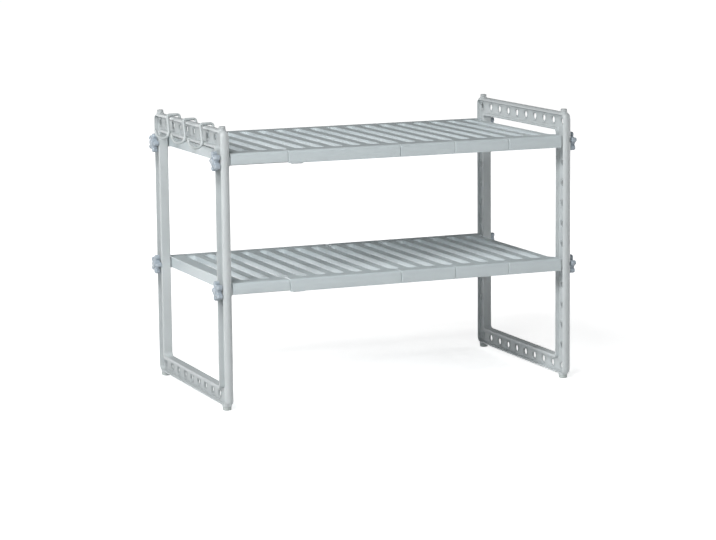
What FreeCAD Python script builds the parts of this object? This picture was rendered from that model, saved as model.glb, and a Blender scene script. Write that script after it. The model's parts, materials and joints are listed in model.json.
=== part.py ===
import FreeCAD, Part
import math
import os

# Under sink organizer: two side frames carry two shelves on telescoping rails.
# Millimetres. +X runs along the length, +Y to the rear, +Z up.
# The origin is at the middle of the footprint, on the floor.

# Side frames
hole_pitch = 30.0
upright_holes = 13
bar_holes = 10
hole_diameter = 9.0
clear_length = 510.0
frame_thickness = 14.0
upright_width = 26.0
bar_height = 27.0
web_thickness = 1.5
web_inset = 5.2
upright_rim = 3.5
bar_rim = 4.0
frame_corner = 10.0
opening_corner = 6.0
outer_edge_round = 6.5
opening_edge_round = 1.5
ring_diameter = 14.0
ring_bore = 11.6
ring_height = 0.8

# Feet and stacking pegs
foot_height = 5.0
foot_diameter = 12.6
foot_round = 1.6
peg_height = 4.5
peg_diameter = 9.6
peg_chamfer = 0.7
shank_diameter = 6.0
seat_margin = 0.5

# Shelves: which upright hole carries each, counted from the top one
shelf_hole = {"top": 1, "lower": 7}

# Rails
outer_tube_diameter = 16.0
tube_wall = 0.8
inner_tube_clearance = 83.0
outer_tube_start = 11.0
collar_diameter = 19.0
collar_length = 16.0
collar_lip = 2.5
collar_chamfer = 0.5
plug_shoulder = 1.0
plug_spigot = 25.0
plug_bore_depth = 24.0

# Shelf panels, from left to right, by their number of slats
panel_slats = [3, 6, 3, 3, 3]
seam_gap = 0.6
end_gap = 1.5
slot_width = 15.0
deck_thickness = 2.4
rim_width = 2.4
rim_depth = 7.1
first_rim_depth = 4.6
rim_top_round = 4.0
rim_crown_inset = 1.4
rim_foot_inset = 0.9
inner_wall = 2.0
slot_wall = 1.8
slot_wall_depth = 7.0
end_skirt = 2.0
end_chamfer = 0.7

# Knobs and their screws
knob_lobes = 5
knob_diameter = 28.5
knob_lobe_radius = 3.7
knob_waist_diameter = 15.0
knob_thickness = 8.0
knob_face_round = 2.8
knob_neck_flat = 0.3
knob_back_round = 0.8
knob_cap_diameter = 11.0
knob_cap_height = 1.2
knob_turn = 18.0
screw_diameter = 8.0
screw_in_knob = 5.0
screw_in_plug = 18.0
screw_tip_chamfer = 0.8

# Hooks on the top bar of the left frame
hook_wire = 4.0
hook_height = 37.5
hook_loop_width = 23.5
hook_inner_leg = 9.0
hook_bend = 3.5
hook_tip_rise = 1.5
hook_spacing = 73.0
hook_row_centre = 2.0
hook_tilt = 15.0

# Clearances
moving_gap = 0.3
slide_gap = 0.2
collar_gap = 0.1
seat_gap = 0.05
channel_gap = 0.3

# How far a cutting shape runs past the face it opens
overcut = 1.0

# How near an edge lies to the face that it is picked by
near = 0.01

# Worked-out sizes
hole_rows_height = (upright_holes - 1) * hole_pitch
rail_y = (bar_holes - 1) * hole_pitch / 2
frame_half_depth = rail_y + upright_width / 2
frame_bottom = foot_height
bottom_hole_z = frame_bottom + bar_height / 2
top_hole_z = bottom_hole_z + hole_rows_height
frame_top = top_hole_z + bar_height / 2
hook_reach = moving_gap + hook_loop_width
knob_reach = moving_gap + knob_thickness + knob_cap_height
centre_shift = (hook_reach - knob_reach) / 2
left_inner_x = centre_shift - clear_length / 2
right_inner_x = centre_shift + clear_length / 2
left_x = left_inner_x - frame_thickness / 2
right_x = right_inner_x + frame_thickness / 2
web_shift = frame_thickness / 2 - web_inset - web_thickness / 2
inner_tube_diameter = outer_tube_diameter - 2 * tube_wall - 2 * slide_gap
plug_diameter = upright_width - 2 * upright_rim - 2 * channel_gap
left_tube_x = left_inner_x + plug_shoulder
right_tube_x = right_inner_x - plug_shoulder
inner_tube_end = right_tube_x - plug_spigot - inner_tube_clearance
panel_run = clear_length - 2 * end_gap - seam_gap * (len(panel_slats) - 1)
slat_pitch = panel_run / sum(panel_slats)
deck_top = outer_tube_diameter / 2 + moving_gap + deck_thickness
rim_outer = outer_tube_diameter / 2 + moving_gap + rim_width
first_panel_end = left_inner_x + end_gap + panel_slats[0] * slat_pitch
outer_tube_x = first_panel_end + outer_tube_start

# The star of a knob: hollow arcs join the lobes, and the face's round stays inside half of a lobe's neck
half_step = math.pi / knob_lobes
lobe_ring = knob_diameter / 2 - knob_lobe_radius
waist = knob_waist_diameter / 2
lobe_along = lobe_ring * math.cos(half_step) - waist
lobe_across = lobe_ring * math.sin(half_step)
lobe_square = lobe_along ** 2 + lobe_across ** 2 - knob_lobe_radius ** 2
valley_radius = lobe_square / (2 * (lobe_along + knob_lobe_radius))
valley_ring = waist + valley_radius
half_neck = valley_ring * math.sin(half_step) - valley_radius
knob_round = min(knob_face_round, half_neck - knob_neck_flat)

X_AXIS = FreeCAD.Vector(1, 0, 0)


def save(node, shape):
    shape.exportStep("parts/" + node + ".step")


def rod_x(x0, x1, y, z, radius):
    """A round bar along X from x0 to x1."""
    return Part.makeCylinder(radius, x1 - x0, FreeCAD.Vector(x0, y, z), X_AXIS)


def rod_z(x, y, z0, z1, radius):
    """A round bar along Z from z0 to z1."""
    return Part.makeCylinder(radius, z1 - z0, FreeCAD.Vector(x, y, z0))


def block(x0, x1, y0, y1, z0, z1):
    return Part.makeBox(x1 - x0, y1 - y0, z1 - z0, FreeCAD.Vector(x0, y0, z0))


def rounded_block(x0, x1, half_width, z0, z1, radius):
    """A block about Y = 0 with the edges along X rounded."""
    plain = block(x0, x1, -half_width, half_width, z0, z1)
    along_x = [edge for edge in plain.Edges if edge.BoundBox.XLength > 0.5 * (x1 - x0)]
    return plain.makeFillet(radius, along_x)


def side_edges(shape, half_width):
    """The edges in the two flat sides, within half_width of the middle."""
    limit = half_width + near
    return [
        edge
        for edge in shape.Edges
        if edge.BoundBox.XLength < near and abs(edge.CenterOfMass.y) < limit and edge.BoundBox.YMax < limit
    ]


def hole_places():
    """The Y and Z of every hole in a side frame."""
    places = []
    for row in range(upright_holes):
        for column in range(bar_holes):
            in_bar = row in (0, upright_holes - 1)
            in_upright = column in (0, bar_holes - 1)
            if in_bar or in_upright:
                places.append((rail_y - column * hole_pitch, top_hole_z - row * hole_pitch))
    return places


def side_frame(x, inward):
    """One moulded ring of H section, with a ringed hole row in each upright and bar."""
    x0 = x - frame_thickness / 2
    x1 = x + frame_thickness / 2
    body = rounded_block(x0, x1, frame_half_depth, frame_bottom, frame_top, frame_corner)
    body = body.makeFillet(outer_edge_round, side_edges(body, frame_half_depth))
    opening_half = frame_half_depth - upright_width
    low = frame_bottom + bar_height
    high = frame_top - bar_height
    body = body.cut(rounded_block(x0 - overcut, x1 + overcut, opening_half, low, high, opening_corner))
    body = body.makeFillet(opening_edge_round, side_edges(body, opening_half))
    web_x = x + inward * web_shift
    web0 = web_x - web_thickness / 2
    web1 = web_x + web_thickness / 2
    for a, b in ((x0 - overcut, web0), (web1, x1 + overcut)):
        outer_half = frame_half_depth - upright_rim
        channel = rounded_block(a, b, outer_half, frame_bottom + bar_rim, frame_top - bar_rim, opening_corner)
        inner_half = opening_half + upright_rim
        island = rounded_block(a, b, inner_half, low - bar_rim, high + bar_rim, opening_corner)
        body = body.cut(channel.cut(island))
    added = []
    bores = []
    for y, z in hole_places():
        ring = rod_x(web0 - ring_height, web1 + ring_height, y, z, ring_diameter / 2)
        added.append(ring.cut(rod_x(web0 - ring_height, web1 + ring_height, y, z, ring_bore / 2)))
        bores.append(rod_x(web0, web1, y, z, hole_diameter / 2))
    peg_seat = peg_diameter / 2 + seat_margin
    foot_seat = foot_diameter / 2 + seat_margin
    shank_bore = shank_diameter / 2 + seat_gap
    for y in (-rail_y, rail_y):
        added.append(rod_z(x, y, frame_top - bar_rim, frame_top, peg_seat))
        added.append(rod_z(x, y, frame_bottom, frame_bottom + bar_rim, foot_seat))
        bores.append(rod_z(x, y, frame_bottom, frame_bottom + bar_rim, shank_bore))
        bores.append(rod_z(x, y, frame_top - bar_rim, frame_top, shank_bore))
    return body.fuse(added).cut(bores)


def stacking_pegs(x):
    """Two short pegs on top of a frame's uprights, with shanks in the rim below."""
    pegs = []
    for y in (-rail_y, rail_y):
        head = rod_z(x, y, frame_top, frame_top + peg_height, peg_diameter / 2)
        top_edge = [edge for edge in head.Edges if edge.BoundBox.ZMin > frame_top + peg_height - near]
        head = head.makeChamfer(peg_chamfer, top_edge)
        shank = rod_z(x, y, frame_top - bar_rim, frame_top, shank_diameter / 2)
        pegs.append(head.fuse(shank))
    return Part.makeCompound(pegs)


def feet(x):
    """Two feet under a frame's uprights, with shanks in the rim above."""
    pair = []
    for y in (-rail_y, rail_y):
        pad = rod_z(x, y, 0, foot_height, foot_diameter / 2)
        floor_edge = [edge for edge in pad.Edges if edge.BoundBox.ZMax < near]
        pad = pad.makeFillet(foot_round, floor_edge)
        shank = rod_z(x, y, foot_height, foot_height + bar_rim, shank_diameter / 2)
        pair.append(pad.fuse(shank))
    return Part.makeCompound(pair)


def end_plug(frame_x, inward, y, z, tube_bore):
    """A plug seated in the channel of an upright, with a spigot in the rail's tube."""
    web_face = web_shift + web_thickness / 2 + ring_height
    shoulder_end = frame_thickness / 2 + plug_shoulder
    spigot_end = shoulder_end + plug_spigot
    plug = rod_x(web_face, shoulder_end, y, z, plug_diameter / 2)
    plug = plug.fuse(rod_x(shoulder_end, spigot_end, y, z, tube_bore - seat_gap))
    bore_radius = screw_diameter / 2 + seat_gap
    plug = plug.cut(rod_x(web_face, web_face + plug_bore_depth, y, z, bore_radius))
    if inward < 0:
        plug = plug.mirror(FreeCAD.Vector(0, 0, 0), X_AXIS)
    plug.translate(FreeCAD.Vector(frame_x, 0, 0))
    return plug


def tube(x0, x1, y, z, diameter):
    outside = rod_x(x0, x1, y, z, diameter / 2)
    return outside.cut(rod_x(x0, x1, y, z, diameter / 2 - tube_wall))


def tube_collar(y, z):
    """A collar on the mouth of the outer tube, whose lip guides the inner tube."""
    x0 = outer_tube_x - collar_lip
    x1 = x0 + collar_length
    collar = rod_x(x0, x1, y, z, collar_diameter / 2)
    rim_edges = [edge for edge in collar.Edges if edge.BoundBox.XLength < near]
    collar = collar.makeChamfer(collar_chamfer, rim_edges)
    collar = collar.cut(rod_x(outer_tube_x, x1, y, z, outer_tube_diameter / 2 + seat_gap))
    return collar.cut(rod_x(x0, outer_tube_x, y, z, inner_tube_diameter / 2 + collar_gap))


def slot_prism(x, half_width, half_length, z0, z1):
    """An upright prism with round ends, its length along Y."""
    straight = half_length - half_width
    a = FreeCAD.Vector(x - half_width, -straight, z0)
    b = FreeCAD.Vector(x + half_width, -straight, z0)
    c = FreeCAD.Vector(x + half_width, straight, z0)
    d = FreeCAD.Vector(x - half_width, straight, z0)
    front = Part.Arc(a, FreeCAD.Vector(x, -half_length, z0), b).toShape()
    rear = Part.Arc(c, FreeCAD.Vector(x, half_length, z0), d).toShape()
    outline = Part.Wire([front, Part.makeLine(b, c), rear, Part.makeLine(d, a)])
    return Part.Face(outline).extrude(FreeCAD.Vector(0, 0, z1 - z0))


def panel_shell(x0, x1, z, depth):
    """A solid panel: bulging front and rear rims that round into a flat top, and softened ends."""
    top = z + deck_top
    bottom = z - depth
    reach = rail_y + rim_outer

    def at(side, y, height):
        return FreeCAD.Vector(x0, side * y, height)

    def rim(side):
        foot = at(side, reach - rim_foot_inset, bottom)
        bulge = at(side, reach, (top - rim_top_round + bottom) / 2)
        crown = at(side, reach - rim_crown_inset, top)
        return Part.Arc(foot, bulge, crown).toShape(), foot, crown

    front, front_foot, front_crown = rim(-1)
    rear, rear_foot, rear_crown = rim(1)
    across = Part.makeLine(front_crown, rear_crown)
    under = Part.makeLine(rear_foot, front_foot)
    outline = Part.Wire([front, across, rear, under])
    shell = Part.Face(outline).extrude(FreeCAD.Vector(x1 - x0, 0, 0))
    crowns = [edge for edge in shell.Edges if edge.BoundBox.YLength < near and edge.BoundBox.ZMin > top - near]
    shell = shell.makeFillet(rim_top_round, crowns)
    ends = [edge for edge in shell.Edges if edge.BoundBox.XLength < near and edge.BoundBox.ZMax > bottom + near]
    return shell.makeChamfer(end_chamfer, ends)


def panel(x0, slats, z, tube_diameter, depth, closed_start):
    """A shelf panel over the two rails: slats from rim to rim, with half a slot at each open end."""
    x1 = x0 + slats * slat_pitch
    saddle = tube_diameter / 2 + moving_gap
    top = z + deck_top
    bottom = z - depth
    shell = panel_shell(x0, x1, z, depth)
    cavity_half = rail_y - rim_outer + rim_width - inner_wall
    cavity = block(
        x0 + end_skirt, x1 - end_skirt, -cavity_half, cavity_half, bottom - overcut, top - deck_thickness
    )
    slot_half = slot_width / 2
    slot_reach = cavity_half - slot_wall
    wall_bottom = top - slot_wall_depth
    first_slot = 1 if closed_start else 0
    centres = [x0 + index * slat_pitch for index in range(first_slot, slats + 1)]
    walls = [
        slot_prism(x, slot_half + slot_wall, slot_reach + slot_wall, wall_bottom, top - deck_thickness)
        for x in centres
    ]
    tools = [cavity.cut(walls)]
    for y in (-rail_y, rail_y):
        tools.append(rod_x(x0, x1, y, z, saddle))
        tools.append(block(x0, x1, y - saddle, y + saddle, bottom - overcut, z))
    for x in centres:
        tools.append(slot_prism(x, slot_half, slot_reach, bottom - overcut, top + overcut))
    return shell.cut(tools)


def collar_relief(z):
    """The room that a panel leaves for the collars under its rims."""
    x0 = outer_tube_x - collar_lip - moving_gap
    x1 = x0 + collar_length + 2 * moving_gap
    half = collar_diameter / 2 + moving_gap
    tools = []
    for y in (-rail_y, rail_y):
        tools.append(rod_x(x0, x1, y, z, half))
        tools.append(block(x0, x1, y - half, y + half, z - rim_depth - overcut, z))
    return tools


def star_face(x, y, z, turn):
    """The star outline of a knob: round lobes joined by hollow arcs that meet them smoothly."""
    span = knob_lobe_radius + valley_radius

    def at(ring, angle):
        return FreeCAD.Vector(x, y + ring * math.cos(angle), z + ring * math.sin(angle))

    arcs = []
    for index in range(knob_lobes):
        angle = math.radians(turn) + 2 * index * half_step
        lobe = at(lobe_ring, angle)
        before = at(valley_ring, angle - half_step)
        after = at(valley_ring, angle + half_step)
        next_lobe = at(lobe_ring, angle + 2 * half_step)
        start = lobe + (before - lobe) * (knob_lobe_radius / span)
        end = lobe + (after - lobe) * (knob_lobe_radius / span)
        next_start = next_lobe + (after - next_lobe) * (knob_lobe_radius / span)
        tip = at(knob_diameter / 2, angle)
        dip = at(waist, angle + half_step)
        arcs.append(Part.Arc(start, tip, end).toShape())
        arcs.append(Part.Arc(end, dip, next_start).toShape())
    return Part.Face(Part.Wire(arcs))


def knob(frame_x, outward, y, z, turn):
    """A star knob on the outer face of a frame, with a blind bore for its screw."""
    back = frame_thickness / 2 + moving_gap
    front = back + knob_thickness
    body = star_face(back, y, z, turn).extrude(FreeCAD.Vector(knob_thickness, 0, 0))
    front_edges = [edge for edge in body.Edges if edge.BoundBox.XMin > front - near]
    body = body.makeFillet(knob_round, front_edges)
    back_edges = [edge for edge in body.Edges if edge.BoundBox.XMax < back + near]
    body = body.makeFillet(knob_back_round, back_edges)
    cap = rod_x(front - overcut, front + knob_cap_height, y, z, knob_cap_diameter / 2)
    cap_edge = [edge for edge in cap.Edges if edge.BoundBox.XMin > front + knob_cap_height - near]
    body = body.fuse(cap.makeFillet(knob_cap_height * 0.8, cap_edge))
    body = body.cut(rod_x(back, back + screw_in_knob, y, z, screw_diameter / 2 + seat_gap))
    if outward < 0:
        body = body.mirror(FreeCAD.Vector(0, 0, 0), X_AXIS)
    body.translate(FreeCAD.Vector(frame_x, 0, 0))
    return body


def knob_screw(frame_x, outward, y, z):
    """The screw from a knob, through the hole of the upright, into the rail's plug."""
    inner_end = web_shift + web_thickness / 2 + screw_in_plug
    outer_end = frame_thickness / 2 + moving_gap + screw_in_knob
    screw = rod_x(-inner_end, outer_end, y, z, screw_diameter / 2)
    tip = [edge for edge in screw.Edges if edge.BoundBox.XMax < near - inner_end]
    screw = screw.makeChamfer(screw_tip_chamfer, tip)
    if outward < 0:
        screw = screw.mirror(FreeCAD.Vector(0, 0, 0), X_AXIS)
    screw.translate(FreeCAD.Vector(frame_x, 0, 0))
    return screw


def hook(y):
    """An S-hook: a clip over the top bar and a round hook on the outer side."""
    wire = hook_wire / 2
    inner = left_inner_x + moving_gap + wire
    outer = left_x - frame_thickness / 2 - moving_gap - wire
    crest = frame_top + moving_gap + wire
    loop = hook_loop_width / 2 - wire
    base = crest + wire - hook_height + wire + loop
    bend = hook_bend
    turn = bend * (1 - math.sqrt(0.5))

    def at(x, z):
        return FreeCAD.Vector(x, y, z)

    leg_end = at(inner, frame_top - hook_inner_leg)
    leg_top = at(inner, crest - bend)
    crest_right = at(inner - bend, crest)
    crest_left = at(outer + bend, crest)
    arm_top = at(outer, crest - bend)
    arm_end = at(outer, base)
    loop_low = at(outer - loop, base - loop)
    loop_end = at(outer - 2 * loop, base)
    tip = at(outer - 2 * loop, base + hook_tip_rise)
    path = Part.Wire([
        Part.makeLine(leg_end, leg_top),
        Part.Arc(leg_top, at(inner - turn, crest - turn), crest_right).toShape(),
        Part.makeLine(crest_right, crest_left),
        Part.Arc(crest_left, at(outer + turn, crest - turn), arm_top).toShape(),
        Part.makeLine(arm_top, arm_end),
        Part.Arc(arm_end, loop_low, loop_end).toShape(),
        Part.makeLine(loop_end, tip),
    ])
    section = Part.Wire(Part.makeCircle(wire, leg_end, FreeCAD.Vector(0, 0, 1)))
    body = path.makePipeShell([section], True, True)
    body = body.fuse([Part.makeSphere(wire, leg_end), Part.makeSphere(wire, tip)])
    body.rotate(at(inner, crest), X_AXIS, -hook_tilt)
    return body


os.makedirs("parts", exist_ok=True)

for side, x, inward in (("left", left_x, 1), ("right", right_x, -1)):
    save(side + "_side_frame", side_frame(x, inward))
    save(side + "_stacking_pegs", stacking_pegs(x))
    save(side + "_feet", feet(x))

turn = 0.0
for shelf, hole in shelf_hole.items():
    z = top_hole_z - hole * hole_pitch
    for row, y in (("front", -rail_y), ("rear", rail_y)):
        rail = shelf + "_" + row
        inner_bore = inner_tube_diameter / 2 - tube_wall
        outer_bore = outer_tube_diameter / 2 - tube_wall
        save(rail + "_inner_tube", tube(left_tube_x, inner_tube_end, y, z, inner_tube_diameter))
        save(rail + "_outer_tube", tube(outer_tube_x, right_tube_x, y, z, outer_tube_diameter))
        save(rail + "_tube_collar", tube_collar(y, z))
        save(rail + "_left_plug", end_plug(left_x, 1, y, z, inner_bore))
        save(rail + "_right_plug", end_plug(right_x, -1, y, z, outer_bore))
        for side, x, outward in (("left", left_x, -1), ("right", right_x, 1)):
            save(rail + "_" + side + "_knob", knob(x, outward, y, z, turn))
            save(rail + "_" + side + "_screw", knob_screw(x, outward, y, z))
            turn += knob_turn
    x0 = left_inner_x + end_gap
    for index, slats in enumerate(panel_slats):
        carrier = inner_tube_diameter if index == 0 else outer_tube_diameter
        depth = first_rim_depth if index == 0 else rim_depth
        plate = panel(x0, slats, z, carrier, depth, closed_start=index == 0)
        if index == 1:
            plate = plate.cut(collar_relief(z))
        save(shelf + "_panel_" + str(index + 1), plate)
        x0 += slats * slat_pitch + seam_gap

for index in range(3):
    save("hook_" + str(index + 1), hook(hook_row_centre + (1 - index) * hook_spacing))
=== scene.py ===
import bpy
import json
import math
from mathutils import Matrix, Vector

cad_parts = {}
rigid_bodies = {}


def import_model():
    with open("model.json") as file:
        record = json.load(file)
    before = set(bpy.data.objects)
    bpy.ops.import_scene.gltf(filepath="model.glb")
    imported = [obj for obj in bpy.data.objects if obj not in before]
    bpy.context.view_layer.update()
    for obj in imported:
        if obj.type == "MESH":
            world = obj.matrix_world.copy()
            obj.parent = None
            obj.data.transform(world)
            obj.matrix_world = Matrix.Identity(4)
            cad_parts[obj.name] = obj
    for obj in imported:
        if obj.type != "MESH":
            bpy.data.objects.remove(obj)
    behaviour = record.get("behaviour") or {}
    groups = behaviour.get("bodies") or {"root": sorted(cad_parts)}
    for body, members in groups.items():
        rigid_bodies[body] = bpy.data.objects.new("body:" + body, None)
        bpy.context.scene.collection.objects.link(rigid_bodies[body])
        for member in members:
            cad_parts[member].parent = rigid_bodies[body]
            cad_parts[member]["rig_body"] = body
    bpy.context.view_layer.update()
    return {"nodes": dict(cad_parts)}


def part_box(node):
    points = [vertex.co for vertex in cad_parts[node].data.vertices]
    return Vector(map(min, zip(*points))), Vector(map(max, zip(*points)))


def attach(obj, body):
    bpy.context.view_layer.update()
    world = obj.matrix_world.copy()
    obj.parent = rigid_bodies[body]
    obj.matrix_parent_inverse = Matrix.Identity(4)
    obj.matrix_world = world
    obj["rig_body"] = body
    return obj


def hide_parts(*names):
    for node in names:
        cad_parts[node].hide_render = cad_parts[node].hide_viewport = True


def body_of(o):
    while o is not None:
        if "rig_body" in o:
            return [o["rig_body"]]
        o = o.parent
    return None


# Under sink organizer: looks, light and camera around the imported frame. Metres.

MM = 0.001

# Camera, from the photograph's perspective
IMAGE_WIDTH_PX = 716
FOCAL_PX = 2499.0
SENSOR_WIDTH = 36.0
CAMERA_PLACE = (-1.3891, -3.3495, 0.7426)
CAMERA_HEADING = 22.531
CAMERA_PITCH = 9.129
CAMERA_ROLL = -0.575
CAMERA_REACH = 100.0

# Colours, as linear values
FRAME_COLOUR = (0.565, 0.602, 0.610)
PANEL_COLOUR = (0.608, 0.676, 0.696)
KNOB_COLOUR = (0.40, 0.46, 0.515)
PEG_COLOUR = (0.50, 0.53, 0.535)
FOOT_COLOUR = (0.50, 0.545, 0.535)
HOOK_COLOUR = (0.53, 0.57, 0.575)
TUBE_COLOUR = (0.55, 0.58, 0.59)
STEEL_COLOUR = (0.58, 0.58, 0.57)

# Plastic and steel: noise scales per metre, and the middle range of a noise that is spread over its effect
NOISE_LOW = 0.3
NOISE_HIGH = 0.7
MOTTLE_SCALE = 22.0
MOTTLE_SHARE = 0.02
GLOSS_SCALE = 140.0
GLOSS_SPREAD = 0.02
PLASTIC_IOR = 1.5
COAT_MOTTLE_SCALE = 30.0
PEEL_SCALE = 700.0
PEEL_DEPTH = 0.05 * MM
PEEL_STRENGTH = 0.6
MARK_SCALE = 120.0
MARK_STRETCH = (1.0, 14.0, 14.0)

# Light: the level of the dim room, and the lamps as (name, degrees left of the front, degrees up, watts)
ROOM_LEVEL = 0.03
LAMPS = [
    ("key", 65.0, 28.0, 52.0),
    ("high", 40.0, 50.0, 42.0),
    ("front", 12.0, 20.0, 9.0),
    ("right_fill", -95.0, 8.0, 40.0),
    ("rear_fill", 172.0, 10.0, 20.0),
]
LAMP_WIDTH = 1.0
LAMP_DISTANCE = 3.3
LAMP_TARGET = (0.0, 0.0, 0.2)

# Floor: its glow near and far, the distances where the glow changes, and its rings as (radius, height)
FLOOR_GLOW_NEAR = 0.7
FLOOR_GLOW_FAR = 1.0
FLOOR_FADE = (0.5, 2.5)
FLOOR_GREY = 0.88
FLOOR_RINGS = ((20.0, 0.0), (24.0, 0.3), (27.0, 1.0), (30.0, 2.1))
FLOOR_SIDES = 64

# Screw threads
THREAD_PITCH = 1.25 * MM
THREAD_DEPTH = 0.7 * MM
THREAD_STEPS = 6
THREAD_SIDES = 32

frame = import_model()
nodes = frame["nodes"]


class Graph:
    """A short way to add nodes to a material's or the world's node tree."""

    def __init__(self, owner):
        owner.use_nodes = True
        self.tree = owner.node_tree
        self.tree.nodes.clear()

    def add(self, kind, **settings):
        node = self.tree.nodes.new(kind)
        for key, value in settings.items():
            setattr(node, key, value)
        return node

    def link(self, source, target):
        self.tree.links.new(source, target)

    def noise(self, place, scale, detail=3.0, roughness=0.55):
        node = self.add("ShaderNodeTexNoise")
        node.inputs["Scale"].default_value = scale
        node.inputs["Detail"].default_value = detail
        node.inputs["Roughness"].default_value = roughness
        self.link(place, node.inputs["Vector"])
        return node.outputs["Fac"]

    def stretched(self, place, scale):
        node = self.add("ShaderNodeMapping")
        node.inputs["Scale"].default_value = scale
        self.link(place, node.inputs["Vector"])
        return node.outputs["Vector"]

    def ranged(self, value, from_low, from_high, to_low, to_high):
        node = self.add("ShaderNodeMapRange")
        for key, number in zip(
            ("From Min", "From Max", "To Min", "To Max"), (from_low, from_high, to_low, to_high)
        ):
            node.inputs[key].default_value = number
        self.link(value, node.inputs["Value"])
        return node.outputs["Result"]

    def spread(self, noise, low, high):
        return self.ranged(noise, NOISE_LOW, NOISE_HIGH, low, high)

    def mixed(self, factor, first, second):
        node = self.add("ShaderNodeMix", data_type="RGBA")
        self.link(factor, node.inputs["Factor"])
        node.inputs["A"].default_value = (*first, 1.0)
        node.inputs["B"].default_value = (*second, 1.0)
        return node.outputs["Result"]

    def bump(self, height, distance, strength):
        node = self.add("ShaderNodeBump")
        node.inputs["Distance"].default_value = distance
        node.inputs["Strength"].default_value = strength
        self.link(height, node.inputs["Height"])
        return node.outputs["Normal"]


def shade(colour, factor):
    return tuple(channel * factor for channel in colour)


def moulded_plastic(name, colour, roughness, grain_size, grain_depth):
    """Injection-moulded plastic: faint mottling, a fine grain and an uneven gloss."""
    material = bpy.data.materials.new(name)
    graph = Graph(material)
    place = graph.add("ShaderNodeTexCoord").outputs["Object"]
    output = graph.add("ShaderNodeOutputMaterial")
    shader = graph.add("ShaderNodeBsdfPrincipled")
    broad = graph.spread(graph.noise(place, MOTTLE_SCALE, 4.0), 0.0, 1.0)
    tint = graph.mixed(broad, shade(colour, 1 - MOTTLE_SHARE), shade(colour, 1 + MOTTLE_SHARE))
    graph.link(tint, shader.inputs["Base Color"])
    gloss = graph.noise(place, GLOSS_SCALE)
    uneven = graph.spread(gloss, roughness - GLOSS_SPREAD, roughness + GLOSS_SPREAD)
    graph.link(uneven, shader.inputs["Roughness"])
    grain = graph.noise(place, 1 / grain_size, 2.0)
    graph.link(graph.bump(grain, grain_depth, 1.0), shader.inputs["Normal"])
    shader.inputs["IOR"].default_value = PLASTIC_IOR
    graph.link(shader.outputs["BSDF"], output.inputs["Surface"])
    return material


def coated_steel(name):
    """Steel tube under a thin pale powder coat with a fine orange peel."""
    material = bpy.data.materials.new(name)
    graph = Graph(material)
    place = graph.add("ShaderNodeTexCoord").outputs["Object"]
    output = graph.add("ShaderNodeOutputMaterial")
    shader = graph.add("ShaderNodeBsdfPrincipled")
    broad = graph.spread(graph.noise(place, COAT_MOTTLE_SCALE), 0.0, 1.0)
    tint = graph.mixed(broad, shade(TUBE_COLOUR, 0.94), shade(TUBE_COLOUR, 1.03))
    graph.link(tint, shader.inputs["Base Color"])
    peel = graph.noise(place, PEEL_SCALE, 2.0)
    graph.link(graph.spread(peel, 0.28, 0.42), shader.inputs["Roughness"])
    graph.link(graph.bump(peel, PEEL_DEPTH, PEEL_STRENGTH), shader.inputs["Normal"])
    graph.link(shader.outputs["BSDF"], output.inputs["Surface"])
    return material


def plated_steel(name):
    """Zinc-plated screw steel with lengthwise drawing marks."""
    material = bpy.data.materials.new(name)
    graph = Graph(material)
    place = graph.add("ShaderNodeTexCoord").outputs["Object"]
    output = graph.add("ShaderNodeOutputMaterial")
    shader = graph.add("ShaderNodeBsdfPrincipled")
    marks = graph.noise(graph.stretched(place, MARK_STRETCH), MARK_SCALE)
    tint = graph.mixed(graph.spread(marks, 0.0, 1.0), shade(STEEL_COLOUR, 0.85), STEEL_COLOUR)
    graph.link(tint, shader.inputs["Base Color"])
    graph.link(graph.spread(marks, 0.30, 0.45), shader.inputs["Roughness"])
    shader.inputs["Metallic"].default_value = 1.0
    graph.link(shader.outputs["BSDF"], output.inputs["Surface"])
    return material


# Plastics as (name, colour, roughness, grain size, grain depth)
MATERIALS = {
    "frame": moulded_plastic("frame_plastic", FRAME_COLOUR, 0.42, 0.9 * MM, 0.03 * MM),
    "panel": moulded_plastic("panel_plastic", PANEL_COLOUR, 0.30, 1.4 * MM, 0.008 * MM),
    "knob": moulded_plastic("knob_plastic", KNOB_COLOUR, 0.15, 1.2 * MM, 0.015 * MM),
    "peg": moulded_plastic("peg_plastic", PEG_COLOUR, 0.45, 0.8 * MM, 0.03 * MM),
    "foot": moulded_plastic("foot_rubber", FOOT_COLOUR, 0.6, 0.6 * MM, 0.04 * MM),
    "hook": moulded_plastic("hook_plastic", HOOK_COLOUR, 0.35, 0.9 * MM, 0.02 * MM),
    "tube": coated_steel("tube_steel"),
    "screw": plated_steel("screw_steel"),
}


def material_of(node):
    for word, kind in (
        ("side_frame", "frame"), ("pegs", "peg"), ("feet", "foot"), ("panel", "panel"), ("knob", "knob"),
        ("screw", "screw"), ("hook", "hook"), ("collar", "frame"), ("plug", "frame"), ("tube", "tube"),
    ):
        if word in node:
            return MATERIALS[kind]


def dress(node, piece):
    piece.data.materials.clear()
    piece.data.materials.append(material_of(node))


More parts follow.
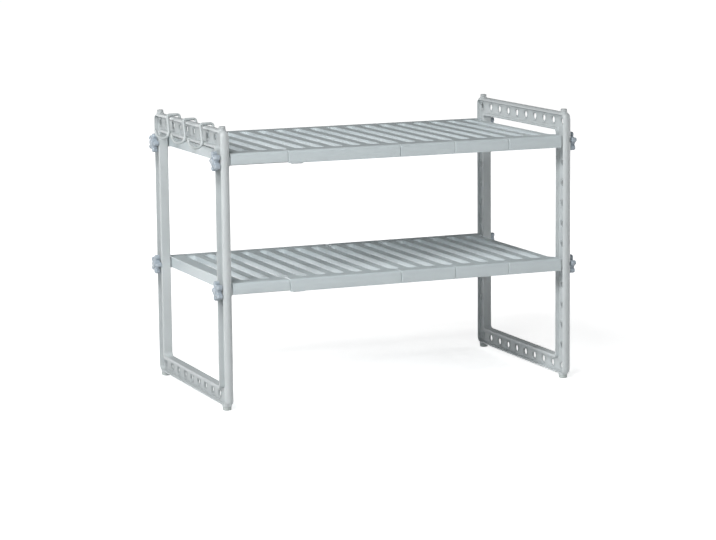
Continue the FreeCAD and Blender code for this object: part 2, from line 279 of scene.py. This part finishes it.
def threaded_screw(node):
    """A screw along X with a helical thread and chamfered ends, in place of its plain CAD solid."""
    low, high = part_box(node)
    length = high[0] - low[0]
    y = (low[1] + high[1]) / 2
    z = (low[2] + high[2]) / 2
    crest = (high[2] - low[2]) / 2
    rows = round(length / THREAD_PITCH * THREAD_STEPS)
    points = []
    for row in range(rows + 1):
        along = length * row / rows
        largest = crest - THREAD_DEPTH + min(along, length - along)
        for side in range(THREAD_SIDES):
            share = side / THREAD_SIDES
            groove = abs(2 * ((along / THREAD_PITCH - share) % 1) - 1)
            radius = min(crest - THREAD_DEPTH * groove, largest)
            turn = 2 * math.pi * share
            points.append((low[0] + along, y + radius * math.cos(turn), z + radius * math.sin(turn)))
    faces = [tuple(reversed(range(THREAD_SIDES))), tuple(range(rows * THREAD_SIDES, len(points)))]
    for row in range(rows):
        first = row * THREAD_SIDES
        second = first + THREAD_SIDES
        for side in range(THREAD_SIDES):
            after = (side + 1) % THREAD_SIDES
            faces.append((first + side, first + after, second + after, second + side))
    mesh = bpy.data.meshes.new(node + "_thread")
    mesh.from_pydata(points, [], faces)
    mesh.materials.append(MATERIALS["screw"])
    screw = bpy.data.objects.new(node + "_threaded", mesh)
    bpy.context.scene.collection.objects.link(screw)
    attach(screw, body_of(nodes[node])[0])
    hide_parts(node)


for node, piece in nodes.items():
    dress(node, piece)
    if "screw" in node:
        threaded_screw(node)


def shown_directly(graph):
    """1 for rays from the camera and for what mirrors or glass would show, and 0 for the rest."""
    path = graph.add("ShaderNodeLightPath")
    most = path.outputs["Is Camera Ray"]
    for kind in ("Is Glossy Ray", "Is Transmission Ray"):
        either = graph.add("ShaderNodeMath", operation="MAXIMUM")
        graph.link(most, either.inputs[0])
        graph.link(path.outputs[kind], either.inputs[1])
        most = either.outputs["Value"]
    return most


def make_floor():
    """A pale floor that rises far out, shows white to the camera and in reflections, and keeps the shadow."""
    mesh = bpy.data.meshes.new("floor")
    turns = [2 * math.pi * side / FLOOR_SIDES for side in range(FLOOR_SIDES)]
    points = [(r * math.cos(turn), r * math.sin(turn), z) for r, z in FLOOR_RINGS for turn in turns]
    faces = [tuple(range(FLOOR_SIDES))]
    for ring in range(len(FLOOR_RINGS) - 1):
        first = ring * FLOOR_SIDES
        second = first + FLOOR_SIDES
        for side in range(FLOOR_SIDES):
            after = (side + 1) % FLOOR_SIDES
            faces.append((first + side, first + after, second + after, second + side))
    mesh.from_pydata(points, [], faces)
    floor = bpy.data.objects.new("floor", mesh)
    bpy.context.scene.collection.objects.link(floor)
    material = bpy.data.materials.new("floor_pale")
    graph = Graph(material)
    output = graph.add("ShaderNodeOutputMaterial")
    matt = graph.add("ShaderNodeBsdfDiffuse")
    matt.inputs["Color"].default_value = (FLOOR_GREY, FLOOR_GREY, FLOOR_GREY, 1.0)
    glow = graph.add("ShaderNodeEmission")
    away = graph.add("ShaderNodeVectorMath", operation="LENGTH")
    graph.link(graph.add("ShaderNodeTexCoord").outputs["Object"], away.inputs["Vector"])
    level = graph.ranged(away.outputs["Value"], *FLOOR_FADE, FLOOR_GLOW_NEAR, FLOOR_GLOW_FAR)
    shown = graph.add("ShaderNodeMath", operation="MULTIPLY")
    graph.link(level, shown.inputs[0])
    graph.link(shown_directly(graph), shown.inputs[1])
    graph.link(shown.outputs["Value"], glow.inputs["Strength"])
    both = graph.add("ShaderNodeAddShader")
    graph.link(matt.outputs["BSDF"], both.inputs[0])
    graph.link(glow.outputs["Emission"], both.inputs[1])
    graph.link(both.outputs["Shader"], output.inputs["Surface"])
    mesh.materials.append(material)


def make_world():
    """A dim room, so that the lamps and the floor do the lighting."""
    world = bpy.data.worlds.new("studio")
    bpy.context.scene.world = world
    graph = Graph(world)
    output = graph.add("ShaderNodeOutputWorld")
    background = graph.add("ShaderNodeBackground")
    background.inputs["Strength"].default_value = ROOM_LEVEL
    graph.link(background.outputs["Background"], output.inputs["Surface"])


def soft_box(name, left_of_front, up, power):
    turn = math.radians(left_of_front)
    rise = math.radians(up)
    away = Vector((-math.sin(turn) * math.cos(rise), -math.cos(turn) * math.cos(rise), math.sin(rise)))
    lamp = bpy.data.lights.new(name, "AREA")
    lamp.shape = "DISK"
    lamp.size = LAMP_WIDTH
    lamp.energy = power
    holder = bpy.data.objects.new(name, lamp)
    holder.location = Vector(LAMP_TARGET) + LAMP_DISTANCE * away
    holder.rotation_euler = away.to_track_quat("Z", "Y").to_euler()
    bpy.context.scene.collection.objects.link(holder)


def make_camera():
    heading = math.radians(CAMERA_HEADING)
    pitch = math.radians(CAMERA_PITCH)
    roll = math.radians(CAMERA_ROLL)
    forward = Vector((
        math.sin(heading) * math.cos(pitch), math.cos(heading) * math.cos(pitch), -math.sin(pitch)
    ))
    level_right = Vector((math.cos(heading), -math.sin(heading), 0.0))
    level_up = level_right.cross(forward)
    right = math.cos(roll) * level_right + math.sin(roll) * level_up
    up = right.cross(forward)
    turn = Matrix((right, up, -forward)).transposed().to_4x4()
    lens = bpy.data.cameras.new("camera")
    lens.sensor_width = SENSOR_WIDTH
    lens.lens = FOCAL_PX * SENSOR_WIDTH / IMAGE_WIDTH_PX
    lens.clip_end = CAMERA_REACH
    camera = bpy.data.objects.new("camera", lens)
    camera.matrix_world = Matrix.Translation(CAMERA_PLACE) @ turn
    bpy.context.scene.collection.objects.link(camera)
    bpy.context.scene.camera = camera


make_floor()
make_world()
for lamp in LAMPS:
    soft_box(*lamp)
make_camera()
bpy.context.scene.view_settings.view_transform = "Standard"
